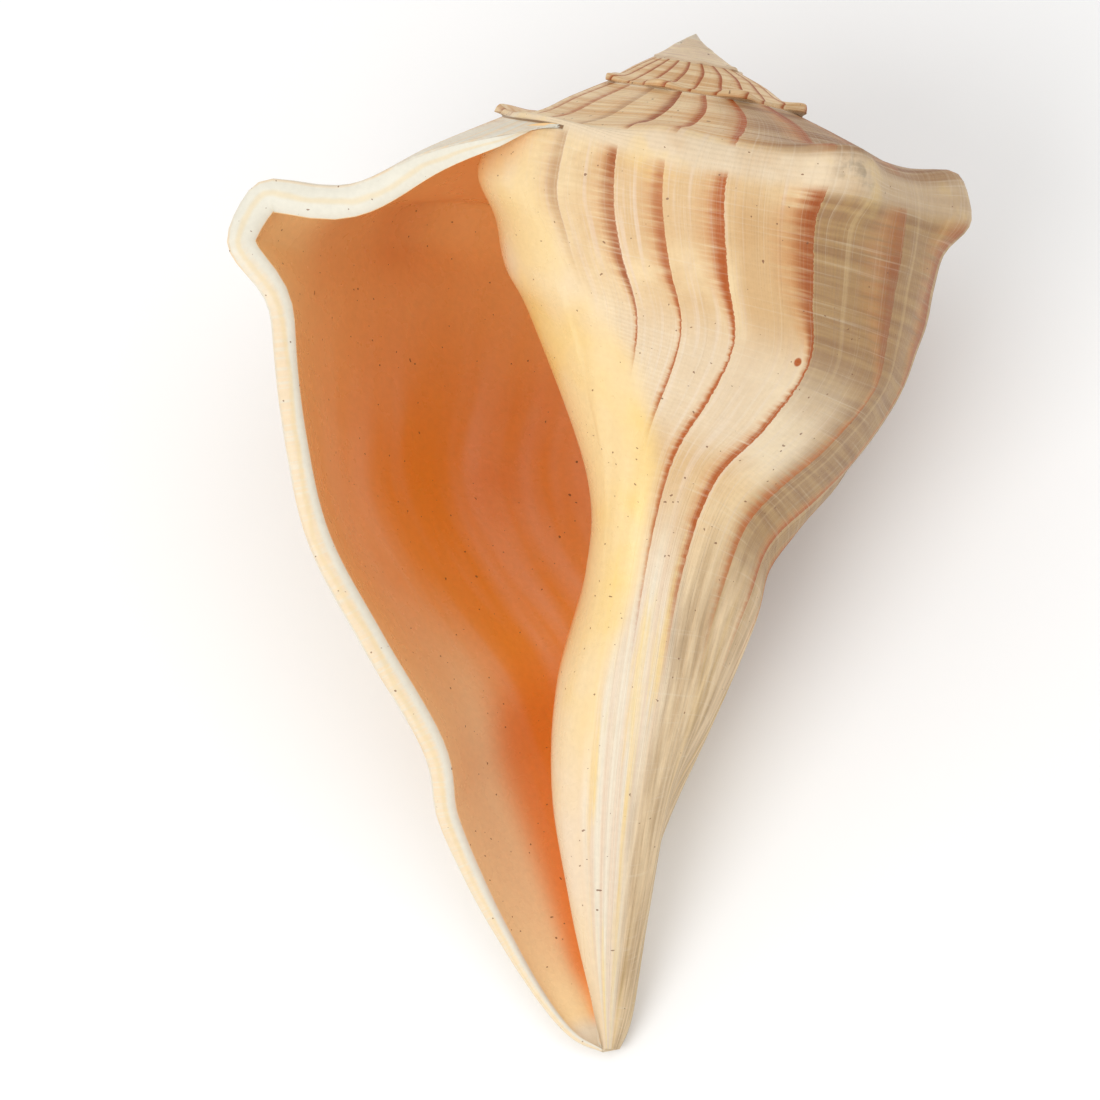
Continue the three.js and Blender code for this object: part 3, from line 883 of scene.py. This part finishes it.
# ---- Room and camera -------------------------------------------------------------------------
def add_floor():
    size = 6.0
    mesh = bpy.data.meshes.new("floor")
    corners = [(-size, -size, 0), (size, -size, 0), (size, size, 0), (-size, size, 0)]
    mesh.from_pydata(corners, [], [(0, 1, 2, 3)])
    floor = bpy.data.objects.new("floor", mesh)
    bpy.context.scene.collection.objects.link(floor)
    material = bpy.data.materials.new("floor")
    material.use_nodes = True
    shader = material.node_tree.nodes["Principled BSDF"]
    shader.inputs["Base Color"].default_value = (0.96, 0.96, 0.955, 1)
    shader.inputs["Roughness"].default_value = 0.9
    mesh.materials.append(material)


def add_light(name, place_at, target, size, power):
    data = bpy.data.lights.new(name, "AREA")
    data.shape = "DISK"
    data.size = size
    data.energy = power
    light = bpy.data.objects.new(name, data)
    light.location = place_at
    light.rotation_euler = (Vector(target) - Vector(place_at)).to_track_quat("-Z", "Y").to_euler()
    bpy.context.scene.collection.objects.link(light)


def add_lights(turn, shift):
    def at(x, y, z):
        return turn @ Vector((x, y, z)) / 1000 + shift
    target = at(0, -90, 0)
    add_light("key", at(-520, -320, 900), target, 0.7, 4.2)
    add_light("fill", at(250, 500, 900), target, 0.9, 1.2)
    world = bpy.data.worlds.new("studio")
    world.use_nodes = True
    world.node_tree.nodes["Background"].inputs["Color"].default_value = (1, 1, 1, 1)
    world.node_tree.nodes["Background"].inputs["Strength"].default_value = 0.8
    bpy.context.scene.world = world
    # Colours come out as they are given, like a plain product picture.
    bpy.context.scene.view_settings.view_transform = "Standard"


def add_camera(turn, shift):
    tilt = math.radians(CAMERA_ELEVATION)
    middle = Vector((0, -LENGTH / 2, 0))
    view = Matrix.Rotation(-tilt, 3, "X") @ Matrix.Rotation(math.radians(CAMERA_ROLL), 3, "Z")
    place_at = middle + view @ Vector((AIM[0], AIM[1], CAMERA_DISTANCE))
    data = bpy.data.cameras.new("camera")
    data.lens = LENS
    data.sensor_width = SENSOR
    camera = bpy.data.objects.new("camera", data)
    pose = (turn @ view).to_4x4()
    pose.translation = turn @ (place_at / 1000) + shift
    camera.matrix_world = pose
    bpy.context.scene.collection.objects.link(camera)
    bpy.context.scene.camera = camera


shell, shell_turn, shell_shift = build_shell()
shell.data.materials.append(shell_material())
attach(shell, "root")
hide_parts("shell")
add_floor()
add_lights(shell_turn, shell_shift)
add_camera(shell_turn, shell_shift)
